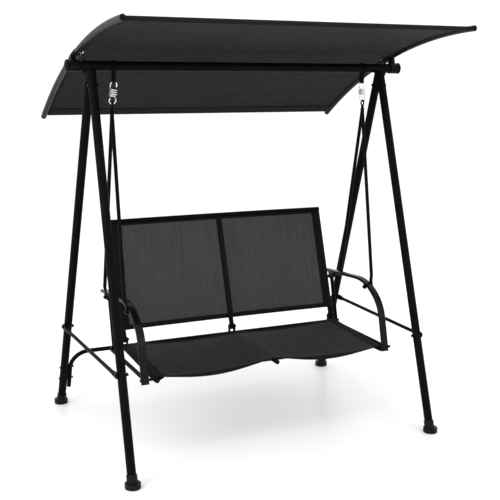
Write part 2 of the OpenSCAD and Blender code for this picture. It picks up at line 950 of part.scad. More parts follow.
module side_bar(side) {
    tip = arm_path()[len(arm_path()) - 1];
    color(steel)
        difference() {
            tube([side * arm_x, side_bar_y_front, side_bar_z], [side * arm_x, side_bar_y_rear, side_bar_z],
                 side_post_od, 1.2);
            translate([side * arm_x, tip[0], tip[1]])
                rotate([90 - tip[2], 0, 0])
                    translate([-arm_w, -arm_t / 2, -60])
                        cube([2 * arm_w, arm_t, 80]);
        }
}
module side_bar_left() { side_bar(-1); }
module side_bar_right() { side_bar(1); }

// The tube along the rear of the seat, and its outer form
module rear_tube_rod() {
    half = rail_x + rail_od / 2;
    rod([-half, rear_tube[0], rear_tube[1]], [half, rear_tube[0], rear_tube[1]], rail_od);
}

// Outer form of a side rail
module side_rail_rod(side) {
    rod([side * rail_x, rail_front_y, rail_front_z], [side * rail_x, rail_rear_y, rail_rear_z], rail_od);
}

module seat_rail(side) {
    color(steel)
        difference() {
            tube([side * rail_x, rail_front_y, rail_front_z], [side * rail_x, rail_rear_y, rail_rear_z],
                 rail_od, 1.2);
            rear_tube_rod();
        }
}
module seat_rail_left() { seat_rail(-1); }
module seat_rail_right() { seat_rail(1); }
module seat_rail_middle() {
    color(steel)
        difference() {
            tube([0, rail_front_y - 14, middle_rail_z], [0, rail_rear_y, middle_rail_z], rail_od, 1.2);
            rear_tube_rod();
        }
}

// The two tubes across the seat: under its front half, and along its rear
module seat_tubes() {
    half = rail_x;
    color(steel) {
        difference() {
            tube([-half, front_tube[0], front_tube[1]], [half, front_tube[0], front_tube[1]], rail_od, 1.2);
            for (side = [-1, 1])
                side_rail_rod(side);
        }
        tube([-half - rail_od / 2, rear_tube[0], rear_tube[1]],
             [half + rail_od / 2, rear_tube[0], rear_tube[1]], rail_od, 1.2);
    }
}

module seat_sling() {
    half = rail_x + rail_od / 2 - 1;
    columns = sling_steps + 1;
    points = [
        for (level = [0, 1], j = [0:sling_rows], i = [0:sling_steps])
            let (
                x = -half + 2 * half * i / sling_steps,
                y = sling_front_y + (sling_rear_y - sling_front_y) * j / sling_rows
            )
            [x, y, sling_z(x, y) + level * sling_t]
    ];
    layer = columns * (sling_rows + 1);
    faces = [
        for (j = [0:sling_rows - 1], i = [0:sling_steps - 1])
            let (a = j * columns + i, b = a + 1, c = a + columns, d = c + 1)
            each [
                [a, b, c], [b, d, c],
                [a + layer, c + layer, b + layer], [b + layer, c + layer, d + layer]
            ]
    ];
    edges = [
        for (i = [0:sling_steps - 1])
            let (a = i, b = sling_rows * columns + i)
            each [
                [a, a + layer, a + 1 + layer, a + 1],
                [b, b + 1, b + 1 + layer, b + layer]
            ],
        for (j = [0:sling_rows - 1])
            let (a = j * columns, b = a + sling_steps)
            each [
                [a, a + columns, a + columns + layer, a + layer],
                [b, b + layer, b + columns + layer, b + columns]
            ]
    ];
    color(mesh_cloth)
        polyhedron(points, concat(faces, edges));
}

// Centre of the bolt at the foot of a back post
function pivot_at(x) = back_at(x, pivot_z);

// A back post, open at both ends, with a bolt hole near its foot
module back_post(x) {
    foot = back_at(x, pivot_z - 13);
    top = back_at(x, back_top_z - 4);
    at = pivot_at(x);
    color(steel)
        difference() {
            tube(foot, top, post_od, 1.2);
            rod([x - 20, at[1], at[2]], [x + 20, at[1], at[2]], m6 + bolt_play);
            back_bar_form(post_x + post_od, back_top_z, 20);
        }
}
module back_post_left() { back_post(-post_x); }
module back_post_right() { back_post(post_x); }
module back_post_middle() { back_post(0); }

// Turns a section into a bar that follows the back's bow at a height, between two places across it
module back_sweep(z, low_x, high_x) {
    rise = back_at(0, z)[1] - back_at(post_x, z)[1];
    radius = (post_x * post_x + rise * rise) / (2 * rise);
    low_angle = asin(low_x / radius);
    high_angle = asin(high_x / radius);
    translate([0, back_at(0, z)[1] - radius, z])
        rotate([0, 0, 90 - high_angle])
            rotate_extrude(angle = high_angle - low_angle, $fn = 96)
                translate([radius, 0])
                    children();
}

// Outer form of a bar across the back
module back_bar_form(half, z, d) {
    back_sweep(z, -half, half)
        circle(d = d);
}
module back_top_rail() {
    color(steel)
        back_sweep(back_top_z, -post_x - post_od / 2, post_x + post_od / 2)
            ring(20, 1.2);
}
module back_low_rod() {
    inner = post_od / 2 + gap;
    outer = post_x - inner;
    color(steel)
        for (span = [[-outer, -inner], [inner, outer]])
            back_sweep(back_low_z + 4, span[0], span[1])
                ring(9, 2);
}

// The two mesh panels of the back
module back_cloths() {
    low_z = back_low_z + 10;
    high_z = back_top_z - 14;
    inner = post_od / 2 + gap;
    outer = post_x - post_od / 2 - gap;
    steps = 8;
    color(mesh_cloth)
        for (side = [-1, 1]) {
            outline = [
                for (i = [0:steps])
                    let (x = inner + (outer - inner) * i / steps)
                    [side * x, back_at(x, low_z)[1] - low_z * tan(back_lean)]
            ];
            back = [for (i = [steps:-1:0]) outline[i] + [0, 3]];
            rise = high_z - low_z;
            slab = concat(outline, back);
            count = len(slab);
            points = [
                for (z = [low_z, high_z], p = slab)
                    [p[0], p[1] + z * tan(back_lean), z]
            ];
            walls = [
                for (i = [0:count - 1])
                    let (j = (i + 1) % count)
                    [i, i + count, j + count, j]
            ];
            ends = [[for (i = [0:count - 1]) i], [for (i = [count - 1:-1:0]) i + count]];
            faces = concat(walls, ends);
            polyhedron(points, side > 0 ? [for (f = faces) [for (i = [len(f) - 1:-1:0]) f[i]]] : faces);
        }
}

// Plate that holds the foot of a back post, standing on the rear tube
module post_plate(x, at) {
    translate([x, 0, 0])
        rotate([90, 0, 90])
            linear_extrude(bracket_t, center = true)
                difference() {
                    union() {
                        translate([at[1], at[2]])
                            circle(11);
                        translate([at[1] - 11, rear_tube[1]])
                            square([22, at[2] - rear_tube[1]]);
                    }
                    translate([at[1], at[2]])
                        circle(d = m6 + bolt_play);
                    translate([rear_tube[0], rear_tube[1]])
                        circle(d = rail_od);
                }
}

// Plate beside a side rail that also takes the bolt of the side post
module corner_plate(x, at) {
    translate([x, 0, 0])
        rotate([90, 0, 90])
            linear_extrude(bracket_t, center = true)
                difference() {
                    union() {
                        translate([at[1], at[2]])
                            circle(11);
                        translate([at[1] - 11, post_bolt[1] - 11])
                            square([22, at[2] - post_bolt[1] + 11]);
                        translate([at[1] - 11, post_bolt[1] - 11])
                            square([post_bolt[0] - at[1] + 11, 22]);
                        translate(post_bolt)
                            circle(11);
                    }
                    translate([at[1], at[2]])
                        circle(d = m6 + bolt_play);
                    translate(post_bolt)
                        circle(d = m8 + bolt_play);
                }
}

module back_brackets() {
    reach = post_od / 2 + gap + bracket_t / 2;
    color(steel) {
        for (way = [-1, 1]) {
            post_plate(way * reach, pivot_at(0));
            post_plate(way * (post_x - reach), pivot_at(post_x));
            corner_plate(way * corner_plate_x, pivot_at(post_x));
        }
    }
}

module seat_bolts() {
    reach = post_od / 2 + gap + bracket_t;
    middle = pivot_at(0);
    corner = pivot_at(post_x);
    arm_face = arm_x + arm_w / 2;
    color(steel) {
        cross_bolt(-reach - gap, reach + 6.5, middle[1], middle[2], m6);
        for (side = [-1, 1]) {
            cross_bolt(side * (corner_plate_x + bracket_t / 2 + gap), side * (post_x - reach - 6.5),
                       corner[1], corner[2], m6);
            for (bolt = [front_bolt, rear_bolt])
                cross_bolt(side * (hanger_flat_x + hanger_flat_t / 2 + gap),
                           side * (arm_x - lug_spread - lug_t / 2 - 8), bolt[0], bolt[1], m8);
            cross_bolt(side * (side_post_x + side_post_od / 2 + gap),
                       side * (corner_plate_x - bracket_t / 2 - 7), post_bolt[0], post_bolt[1], m8);
            cross_bolt(side * (side_post_x + side_post_reach + lug_t / 2 + gap),
                       side * (side_post_x - side_post_reach - lug_t / 2 - 7),
                       side_post_pin[0], side_post_pin[1], m8);
            rod([side * arm_face, arm_link[0], arm_link[1]],
                [side * (arm_face + 5), arm_link[0], arm_link[1]], 13);
            difference() {
                rod([side * rail_x, arm_link[0], arm_link[1]],
                    [side * (arm_x - arm_w / 2), arm_link[0], arm_link[1]], 12);
                side_rail_rod(side);
            }
        }
    }
}

// Plugs in the open ends of the bench's tubes
module bench_plugs() {
    color(plastic) {
        for (side = [-1, 1])
            plug([side * rail_x, rail_front_y, rail_front_z], [0, -1, -0.05], rail_od);
        plug([0, rail_front_y - 14, middle_rail_z], [0, -1, 0], rail_od);
        for (side = [-1, 1]) {
            tip = arm_path()[len(arm_path()) - 1];
            translate([side * arm_x, tip[0], tip[1]])
                rotate([90 - tip[2], 0, 0])
                    translate([0, 0, 0.1])
                        linear_extrude(2.5)
                            rotate([0, 0, 90])
                                oval(arm_t, arm_w);
        }
    }
}
module plug(p, way, d) {
    u = unit(way);
    rod(p + u * 0.1, p + u * 2.5, d);
    rod(p - u * 10, p + u * 0.1, d - 3);
}

top_beam();
beam_end_nuts();
bracket_left();
bracket_right();
leg_front_left();
leg_front_right();
leg_rear_left();
leg_rear_right();
foot_front_left();
foot_front_right();
foot_rear_left();
foot_rear_right();
brace_left();
brace_right();
rear_crossbar();
beam_loop_left();
beam_loop_right();
bracket_bolts();
brace_bolts();
crossbar_bolts();
canopy_arc_left();
canopy_arc_right();
canopy_tube_front();
canopy_tube_rear();
canopy_fabric();
canopy_clamp_left();
canopy_clamp_right();
canopy_straps();
canopy_plugs();
knob_left();
knob_right();
spring_left();
spring_right();
spring_hooks();
hanger_head_left();
hanger_head_right();
hanger_front_left();
hanger_front_right();
hanger_rear_left();
hanger_rear_right();
arm_left();
arm_right();
side_post_left();
side_post_right();
side_bar_left();
side_bar_right();
seat_rail_left();
seat_rail_right();
seat_rail_middle();
seat_tubes();
seat_sling();
back_post_left();
back_post_right();
back_post_middle();
back_top_rail();
back_low_rod();
back_cloths();
back_brackets();
seat_bolts();
bench_plugs();
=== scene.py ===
"""Canopy swing bench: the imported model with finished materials, cloths, springs and studio."""
import json
import math
import bmesh
import bpy
import numpy as np
from mathutils import Matrix, Vector
from mathutils import noise as noise_kit


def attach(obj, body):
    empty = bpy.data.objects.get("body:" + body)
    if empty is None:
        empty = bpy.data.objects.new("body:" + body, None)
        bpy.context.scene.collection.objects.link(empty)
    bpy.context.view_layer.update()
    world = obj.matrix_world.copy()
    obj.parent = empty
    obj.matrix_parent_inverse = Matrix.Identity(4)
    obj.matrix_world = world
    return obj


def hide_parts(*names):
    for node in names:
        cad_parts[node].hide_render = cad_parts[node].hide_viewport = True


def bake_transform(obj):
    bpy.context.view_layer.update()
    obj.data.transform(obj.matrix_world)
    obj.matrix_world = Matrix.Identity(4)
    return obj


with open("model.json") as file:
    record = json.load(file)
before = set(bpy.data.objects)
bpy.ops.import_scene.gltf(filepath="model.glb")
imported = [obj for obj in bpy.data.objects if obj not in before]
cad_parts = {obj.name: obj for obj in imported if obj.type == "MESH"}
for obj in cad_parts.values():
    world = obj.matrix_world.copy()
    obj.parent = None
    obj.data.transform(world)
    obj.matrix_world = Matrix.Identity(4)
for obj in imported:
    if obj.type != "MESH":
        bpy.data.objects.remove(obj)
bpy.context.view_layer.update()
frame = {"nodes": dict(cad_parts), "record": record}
scene = bpy.context.scene
nodes = frame["nodes"]


def vec(x, y, z):
    return Vector((x, y, z))


def noise_at(place):
    """Smooth noise from -1 to 1 at three numbers."""
    return noise_kit.noise(Vector(place))


# ---------------------------------------------------------------- studio

SENSOR_MM, PICTURE_SIZE, FOCAL_LENGTH = 36, 500, 947.6
CAMERA_TURNS = [math.radians(turn) for turn in (-25.7, 11.498, 0.775)]
CAMERA_PLACE = vec(-1.8067, -3.8255, 1.6629)


def make_camera():
    """Camera at the photo's viewing angle, 25.7 degrees round to the left and 11.5 above."""
    azimuth, pitch, roll = CAMERA_TURNS
    look = vec(-math.sin(azimuth) * math.cos(pitch), math.cos(azimuth) * math.cos(pitch), -math.sin(pitch))
    right = look.cross(vec(0, 0, 1)).normalized()
    up = right.cross(look)
    across = right * math.cos(roll) + up * math.sin(roll)
    above = up * math.cos(roll) - right * math.sin(roll)
    data = bpy.data.cameras.new("camera")
    data.sensor_width = SENSOR_MM
    data.lens = SENSOR_MM * FOCAL_LENGTH / PICTURE_SIZE
    data.clip_end = 100
    camera = bpy.data.objects.new("camera", data)
    place = Matrix((across, above, -look)).transposed().to_4x4()
    place.translation = CAMERA_PLACE
    camera.matrix_world = place
    scene.collection.objects.link(camera)
    scene.camera = camera


def make_light(name, place, target, size, power):
    """A rectangular area light that faces a target."""
    data = bpy.data.lights.new(name, "AREA")
    data.shape = "RECTANGLE"
    data.size, data.size_y = size
    data.energy = power
    light = bpy.data.objects.new(name, data)
    light.location = place
    light.rotation_euler = (Vector(target) - Vector(place)).to_track_quat("-Z", "Y").to_euler()
    scene.collection.objects.link(light)


def make_studio():
    """White studio: pale floor, even white surroundings, and broad top, left and front lights."""
    world = bpy.data.worlds.new("studio")
    world.use_nodes = True
    back = world.node_tree.nodes["Background"]
    back.inputs["Color"].default_value = (1, 1, 1, 1)
    back.inputs["Strength"].default_value = 1.12
    scene.world = world
    make_light("top_light", (-0.6, -0.4, 4.2), (0, 0.2, 0), (5.5, 5.5), 56)
    make_light("left_light", (-4.2, -1.6, 2.2), (0, 0, 0.9), (2.2, 3.0), 75)
    make_light("front_light", (1.8, -4.6, 2.6), (0, 0, 0.8), (3.0, 2.4), 40)
    mesh = bpy.data.meshes.new("floor")
    mesh.from_pydata([(-30, -30, 0), (30, -30, 0), (30, 30, 0), (-30, 30, 0)], [], [(0, 1, 2, 3)])
    floor = bpy.data.objects.new("floor", mesh)
    scene.collection.objects.link(floor)
    material, shader, _ = new_material("floor_white")
    shader.inputs["Base Color"].default_value = (0.95, 0.95, 0.95, 1)
    shader.inputs["Roughness"].default_value = 0.32
    shader.inputs["Specular IOR Level"].default_value = 0.25
    mesh.materials.append(material)
    scene.view_settings.view_transform = "Standard"


# ---------------------------------------------------------------- materials

def new_material(name):
    """A node material: (material, its Principled shader, its node tree)."""
    material = bpy.data.materials.new(name)
    material.use_nodes = True
    tree = material.node_tree
    return material, tree.nodes["Principled BSDF"], tree


def add(tree, kind, **values):
    """A node with its settings and inputs set by name."""
    node = tree.nodes.new(kind)
    for key, value in values.items():
        if key in node.inputs:
            node.inputs[key].default_value = value
        else:
            setattr(node, key, value)
    return node


def noise(tree, scale, detail, stretch=(1, 1, 1)):
    """Noise in the object's own coordinates."""
    place = add(tree, "ShaderNodeTexCoord")
    mapping = add(tree, "ShaderNodeMapping", Scale=stretch)
    texture = add(tree, "ShaderNodeTexNoise", Scale=scale, Detail=detail)
    tree.links.new(place.outputs["Object"], mapping.inputs["Vector"])
    tree.links.new(mapping.outputs["Vector"], texture.inputs["Vector"])
    return texture.outputs["Fac"]


def ramp(tree, source, stops):
    """Colour ramp from (place, value or colour) stops."""
    node = add(tree, "ShaderNodeValToRGB")
    while len(node.color_ramp.elements) < len(stops):
        node.color_ramp.elements.new(0.5)
    for element, (place, colour) in zip(node.color_ramp.elements, stops):
        element.position = place
        colour = (colour,) * 3 if isinstance(colour, (int, float)) else colour
        element.color = (*colour, 1)
    tree.links.new(source, node.inputs["Fac"])
    return node.outputs["Color"]


def bump(tree, shader, source, strength, distance, after=None):
    """A bump on the shader's normal, on top of an earlier one if there is one."""
    node = add(tree, "ShaderNodeBump", Strength=strength, Distance=distance)
    tree.links.new(source, node.inputs["Height"])
    if after is not None:
        tree.links.new(after, node.inputs["Normal"])
    tree.links.new(node.outputs["Normal"], shader.inputs["Normal"])
    return node.outputs["Normal"]


def coated_steel(name, shade, rough, peel=0.25, gloss=0.05):
    """Powder-coated steel: fine orange peel, slightly uneven gloss and colour."""
    material, shader, tree = new_material(name)
    cloud = noise(tree, 14, 4)
    low, high = [c * 0.8 for c in shade], [c * 1.3 for c in shade]
    tree.links.new(ramp(tree, cloud, [(0.35, low), (0.7, high)]), shader.inputs["Base Color"])
    tree.links.new(ramp(tree, noise(tree, 60, 3), [(0.3, rough - 0.05), (0.7, rough + 0.07)]),
                   shader.inputs["Roughness"])
    grain = bump(tree, shader, noise(tree, 900, 2), peel, 0.0004)
    bump(tree, shader, noise(tree, 260, 3), peel * 0.6, 0.0008, grain)
    shader.inputs["Specular IOR Level"].default_value = gloss
    return material


def moulded_plastic(name, shade, rough, gloss=0.06):
    """Moulded plastic with a fine spark-eroded texture."""
    material, shader, tree = new_material(name)
    low, high = [c * 0.85 for c in shade], [c * 1.2 for c in shade]
    tree.links.new(ramp(tree, noise(tree, 35, 5), [(0.35, low), (0.7, high)]), shader.inputs["Base Color"])
    tree.links.new(ramp(tree, noise(tree, 500, 2), [(0.3, rough - 0.06), (0.7, rough + 0.08)]),
                   shader.inputs["Roughness"])
    bump(tree, shader, noise(tree, 1300, 2), 0.35, 0.0004)
    shader.inputs["Specular IOR Level"].default_value = gloss
    return material


def zinc_wire(name):
    """Bright zinc-plated spring wire with faint drawing marks and duller patches."""
    material, shader, tree = new_material(name)
    tree.links.new(ramp(tree, noise(tree, 55, 4), [(0.3, (0.60, 0.61, 0.62)), (0.7, (0.86, 0.87, 0.89))]),
                   shader.inputs["Base Color"])
    tree.links.new(ramp(tree, noise(tree, 90, 4), [(0.3, 0.2), (0.75, 0.38)]), shader.inputs["Roughness"])
    bump(tree, shader, noise(tree, 400, 3, (1, 1, 0.2)), 0.15, 0.0003)
    shader.inputs["Metallic"].default_value = 1.0
    return material


def weave(tree, pitch, axes):
    """Plain weave: threads across each of two axes of the object, one every pitch."""
    place = add(tree, "ShaderNodeTexCoord")
    threads = []
    for axis in axes:
        wave = add(tree, "ShaderNodeTexWave", wave_type="BANDS", bands_direction=axis,
                   Scale=BANDS_PER_UNIT / pitch, Distortion=0.25, Detail=1)
        tree.links.new(place.outputs["Object"], wave.inputs["Vector"])
        threads.append(wave.outputs["Fac"])
    return threads


def cloth(name, shade, pitch, rough, streak, stretch, sheen, seen_through=0.0, axes="XY"):
    """Woven cloth: crossing threads at their pitch, streaks of uneven yarn, a soft sheen."""
    material, shader, tree = new_material(name)
    low, high = [c * (1 - streak) for c in shade], [c * (1 + streak) for c in shade]
    yarn = ramp(tree, noise(tree, 110, 2, stretch), [(0.3, low), (0.7, high)])
    cloud = ramp(tree, noise(tree, 5, 3), [(0.3, 0.92), (0.7, 1.06)])
    across, along = weave(tree, pitch, axes)
    crossing = add(tree, "ShaderNodeMath", operation="MAXIMUM")
    tree.links.new(across, crossing.inputs[0])
    tree.links.new(along, crossing.inputs[1])
    thread = ramp(tree, crossing.outputs[0], [(0.25, 0.72), (0.8, 1.08)])
    tinted = yarn
    for factor in (cloud, thread):
        mixed = add(tree, "ShaderNodeMix", data_type="RGBA", blend_type="MULTIPLY")
        mixed.inputs["Factor"].default_value = 1.0
        tree.links.new(tinted, mixed.inputs["A"])
        tree.links.new(factor, mixed.inputs["B"])
        tinted = mixed.outputs["Result"]
    tree.links.new(tinted, shader.inputs["Base Color"])
    tree.links.new(ramp(tree, noise(tree, 40, 3), [(0.3, rough - 0.06), (0.7, rough + 0.06)]),
                   shader.inputs["Roughness"])
    bump(tree, shader, crossing.outputs[0], 0.35, 0.0003)
    shader.inputs["Specular IOR Level"].default_value = CLOTH_GLOSS
    shader.inputs["Sheen Weight"].default_value = sheen
    shader.inputs["Sheen Roughness"].default_value = SHEEN_ROUGH
    shader.inputs["Alpha"].default_value = 1 - seen_through
    return material


BANDS_PER_UNIT = 0.314  # a wave texture of scale 1 repeats every 0.314 m
CLOTH_GLOSS, SHEEN_ROUGH = 0.08, 0.5
BLACK = coated_steel("black_powder_coat", (0.0028, 0.0028, 0.0031), 0.42, gloss=0.03)
ARM = coated_steel("arm_powder_coat", (0.0026, 0.0026, 0.0029), 0.24, gloss=0.12)
ARC = coated_steel("arc_powder_coat", (0.004, 0.004, 0.0044), 0.32, gloss=0.14)
BOLT = coated_steel("black_bolt_finish", (0.0035, 0.0035, 0.0038), 0.28, peel=0.15)
PLASTIC = moulded_plastic("black_plastic", (0.003, 0.003, 0.0033), 0.4)
FOOT = moulded_plastic("foot_plastic", (0.005, 0.005, 0.0054), 0.42, gloss=0.1)
ZINC = zinc_wire("zinc_plate")
CANOPY = cloth("canopy_weave", (0.0092, 0.0092, 0.0094), pitch=0.0006, rough=0.8, streak=0.05,
               stretch=(0.2, 1, 1), sheen=0.02)
SEAT_MESH = cloth("seat_mesh", (0.0120, 0.0120, 0.0122), pitch=0.0012, rough=0.7, streak=0.08,
                  stretch=(1, 0.05, 1), sheen=0.03)
# Same mesh cloth as the seat, with a lighter base colour: painted light for the bright background seen
# through its open weave.
BACK_MESH_LIT_THROUGH = cloth("back_mesh_with_painted_light", (0.047, 0.047, 0.0475), pitch=0.0012, rough=0.7, streak=0.2,
                  stretch=(3, 0.05, 0.05), sheen=0.04, seen_through=0.03, axes="XZ")
# Dark hem tape for sleeves, beads and hems; on the seat's front flap the same finish is painted shade.
HEM_AND_SHADE = cloth("hem_tape_and_painted_shade", (0.0042, 0.0042, 0.0044), pitch=0.0009, rough=0.75, streak=0.08,
            stretch=(1, 1, 1), sheen=0.01)
THREAD = moulded_plastic("sewing_thread", (0.02, 0.02, 0.021), 0.6)


def finish_nodes():
    """Gives every carried-over solid its finish."""
    slots = {s["node"]: s["material_slot"] for s in frame["record"]["subparts"]}
    by_slot = {"black_tube": BLACK, "black_bolts": BOLT, "black_plastic": PLASTIC, "foot_plastic": FOOT,
               "zinc_wire": ZINC, "canopy_cloth": PLASTIC, "mesh_cloth": PLASTIC}
    by_part = {"canopy_arc": ARC, "arm": ARM}
    for name, node in nodes.items():
        material = by_part.get(name.rsplit("_", 1)[0], by_slot[slots[name]])
        for slot in node.material_slots:
            slot.material = material


# ---------------------------------------------------------------- mesh helpers

def make_piece(name, points, faces, materials, picks=None, closed=False):
    """A smooth-shaded mesh object. picks is each face's material, closed turns its faces outwards."""
    mesh = bpy.data.meshes.new(name)
    mesh.from_pydata([tuple(p) for p in points], [], faces)
    for material in materials:
        mesh.materials.append(material)
    if picks:
        mesh.polygons.foreach_set("material_index", picks)
    mesh.polygons.foreach_set("use_smooth", [True] * len(faces))
    if closed:
        work = bmesh.new()
        work.from_mesh(mesh)
        bmesh.ops.recalc_face_normals(work, faces=work.faces)
        work.to_mesh(mesh)
        work.free()
    piece = bpy.data.objects.new(name, mesh)
    scene.collection.objects.link(piece)
    return piece


def cloth_piece(name, rows, materials, thickness, pick=None, gap=None):
    """Cloth through rows of points: pick(j, i) is a cell's material, gap(j, i) leaves a cell out."""
    count = len(rows[0])
    cells = [(j, i) for j in range(len(rows) - 1) for i in range(count - 1) if not (gap and gap(j, i))]
    corners = [j * count + i for j, i in cells]
    faces = [(a, a + 1, a + 1 + count, a + count) for a in corners]
    used = sorted({k for face in faces for k in face})
    place = {k: n for n, k in enumerate(used)}
    points = [p for row in rows for p in row]
    picks = [pick(j, i) for j, i in cells] if pick else None
    piece = make_piece(name, [points[k] for k in used], [tuple(place[k] for k in face) for face in faces],
                       materials, picks)
    solid = piece.modifiers.new("thickness", "SOLIDIFY")
    solid.thickness = thickness
    solid.offset = 0
    return piece


def bar(path, radius, sides):
    """Points and faces of a round bar with domed ends along a path."""
    last = len(path) - 1
    side, points, faces = None, [], []
    for i, at in enumerate(path):
        ahead = (path[min(i + 1, last)] - path[max(i - 1, 0)]).normalized()
        side = ahead.orthogonal() if side is None else side
        side = (side - ahead * side.dot(ahead)).normalized()
        across = ahead.cross(side)
        rings = [(0, 1)]
        if i == 0:
            rings = [(-0.85, 0.5), (-0.5, 0.86), (0, 1)]
        elif i == last:
            rings = [(0, 1), (0.5, 0.86), (0.85, 0.5)]
        for shift, share in rings:
            for k in range(sides):
                turn = 2 * math.pi * k / sides
                points.append(at + ahead * shift * radius
                              + (side * math.cos(turn) + across * math.sin(turn)) * radius * share)
    for ring in range(len(points) // sides - 1):
        for k in range(sides):
            a, b = ring * sides + k, ring * sides + (k + 1) % sides
            faces.append((a, b, b + sides, a + sides))
    faces.append(tuple(reversed(range(sides))))
    faces.append(tuple(range(len(points) - sides, len(points))))
    return points, faces


def bars_piece(name, paths, radius, sides, material):
    """One piece of several round bars."""
    points, faces = [], []
    for path in paths:
        more_points, more_faces = bar(path, radius, sides)
        faces += [tuple(k + len(points) for k in face) for face in more_faces]
        points += more_points
    return make_piece(name, points, faces, [material], closed=True)


STITCH, STITCH_SPACE = 0.0046, 0.0026
THREAD_R, THREAD_SIDES = 0.0004, 5


def dashes(line):
    """Stitches along a line: a short path for each."""
    line = np.array(line, float)
    run = np.concatenate([[0], np.cumsum(np.linalg.norm(np.diff(line, axis=0), axis=1))])
    starts = np.arange(STITCH_SPACE, run[-1] - STITCH, STITCH + STITCH_SPACE)

    def at(distance):
        return Vector([np.interp(distance, run, line[:, k]) for k in range(3)])

    return [[at(start), at(start + STITCH / 2), at(start + STITCH)] for start in starts]


def stitching(name, seams, body, slot):
    """The stitches of all seams as one piece."""
    stitches = [dash for seam in seams for dash in dashes(seam)]
    return settle(bars_piece(name, stitches, THREAD_R, THREAD_SIDES, THREAD), body, slot)


def smooth_path(points, steps):
    """Catmull-Rom curve through points."""
    path = []
    ends = [points[0] * 2 - points[1], *points, points[-1] * 2 - points[-2]]
    for a, b, c, d in zip(ends, ends[1:], ends[2:], ends[3:]):
        for k in range(steps):
            t = k / steps
            path.append(b + (c - a) * 0.5 * t + (a * 2 - b * 5 + c * 4 - d) * 0.5 * t * t
                        + (b * 3 - a - c * 3 + d) * 0.5 * t ** 3)
    return path + [points[-1]]


def spread(low, high, count):
    """Evenly spaced numbers, count + 1 of them."""
    return [low + (high - low) * k / count for k in range(count + 1)]


def ease(t):
    """Smooth step from 0 to 1."""
    t = min(max(t, 0), 1)
    return t * t * (3 - 2 * t)


def settle(piece, body, slot, *replaced):
    """Rides on a body and stands for CAD nodes; slot is not used."""
    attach(piece, body)
    if replaced:
        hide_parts(*replaced)
    return piece


# ---------------------------------------------------------------- springs

LOOP_X = 0.600
SWING_Z, ROCK_Z = 1.557, 1.466
SPRING_SHIFT = 0.008
SPRING_LEAN = SPRING_SHIFT / (SWING_Z - ROCK_Z)
HOOK_R, COIL_R, WIRE_R, WIRE_SIDES = 0.014, 0.0145, 0.0025, 12
COIL_TOP, COIL_LOW, COIL_TURNS, COIL_START = 1.525, 1.497, 3.25, 200


def spring_axis(side, z):
    """Where a spring's leaning axis is across the bench at one height."""
    return side * (LOOP_X + (SWING_Z - z) * SPRING_LEAN)


def spring_path(side):
    """Upper hook, coil and lower hook as one wire."""
    def hook(centre_z, turn):
        z = centre_z + HOOK_R * math.sin(math.radians(turn))
        return vec(spring_axis(side, z) + HOOK_R * math.cos(math.radians(turn)), 0, z)

    def coil(share):
        turn = math.radians(COIL_START + 360 * COIL_TURNS * share)
        z = COIL_TOP + (COIL_LOW - COIL_TOP) * share
        return vec(spring_axis(side, z) + COIL_R * math.cos(turn), COIL_R * math.sin(turn), z)

    points = [hook(SWING_Z - HOOK_R, turn) for turn in range(-30, 191, 20)]
    points += [coil(share) for share in spread(0, 1, 52)]
    points += [hook(ROCK_Z + HOOK_R, turn) for turn in range(20, -231, -20)]
    return smooth_path(points, 3)


def make_springs():
    """Both springs, with their hooks and coils, as one piece."""
    piece = bars_piece("spring_wires", [spring_path(-1), spring_path(1)], WIRE_R, WIRE_SIDES, ZINC)
    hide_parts("spring_left", "spring_right", "spring_hooks")
    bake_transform(piece)


# ---------------------------------------------------------------- canopy

BEAM_Z = 1.620
CANOPY_TILT = math.radians(19.1)
ARC_R, ARC_CENTRE_Z = 2.355, -2.305
HEM_RUN = ARC_R * math.radians(14.78)
SHEET_RUN = HEM_RUN - 0.046
CANOPY_HALF = 0.7431
NOTCH_X, NOTCH_Y = 0.726, 0.030
HEM_WRAP_R = 0.0092
CANOPY_SAG, CANOPY_RIPPLE = 0.008, 0.0014
CANOPY_THICK, BEAD_R, BEAD_SIDES = 0.0013, 0.0021, 8


def canopy_point(x, along, lift):
    """Point on the canopy: across, along its arc from the middle to the back, and above the arc."""
    angle = along / ARC_R
    y = (ARC_R + lift) * math.sin(angle)
    z = (ARC_R + lift) * math.cos(angle) + ARC_CENTRE_Z
    tilt_cos, tilt_sin = math.cos(CANOPY_TILT), math.sin(CANOPY_TILT)
    return vec(x, y * tilt_cos + z * tilt_sin, BEAM_Z - y * tilt_sin + z * tilt_cos)


def canopy_lift(x, along):
    """How far the cloth stands above its arc: a shallow sag and long soft wrinkles across it."""
    across = 1 - (x / CANOPY_HALF) ** 2
    run = 1 - (along / HEM_RUN) ** 2
    still = min(1, 8 * across) * min(1, 4 * run)
    ripple = noise_at((x * 1.3, along * 13, 3.1)) + 0.5 * noise_at((x * 3.1 + 7, along * 31, 8.4))
    return CANOPY_RIPPLE * ripple * still - CANOPY_SAG * across * run


def canopy_stations():
    """Places along the cloth from the front hem's seam to the rear hem's: along, lift, on the main sheet."""
    wrap = [math.radians(turn) for turn in range(-75, -286, -21)]
    seam = [(-HEM_RUN + 0.042, -0.0021), (-HEM_RUN + 0.030, -0.0030), (-HEM_RUN + 0.017, -0.0056)]
    hem = seam + [(-HEM_RUN + HEM_WRAP_R * math.cos(a), HEM_WRAP_R * math.sin(a)) for a in wrap]
    hem += [(-HEM_RUN + 0.017, 0.0058), (-HEM_RUN + 0.030, 0.0022)]
    front = [(along, lift, False) for along, lift in hem]
    rear = [(-along, lift, False) for along, lift in reversed(hem)]
    main = spread(-SHEET_RUN, -NOTCH_Y, 30)
    return front + [(a, 0, True) for a in main] + [(-a, 0, True) for a in reversed(main)] + rear


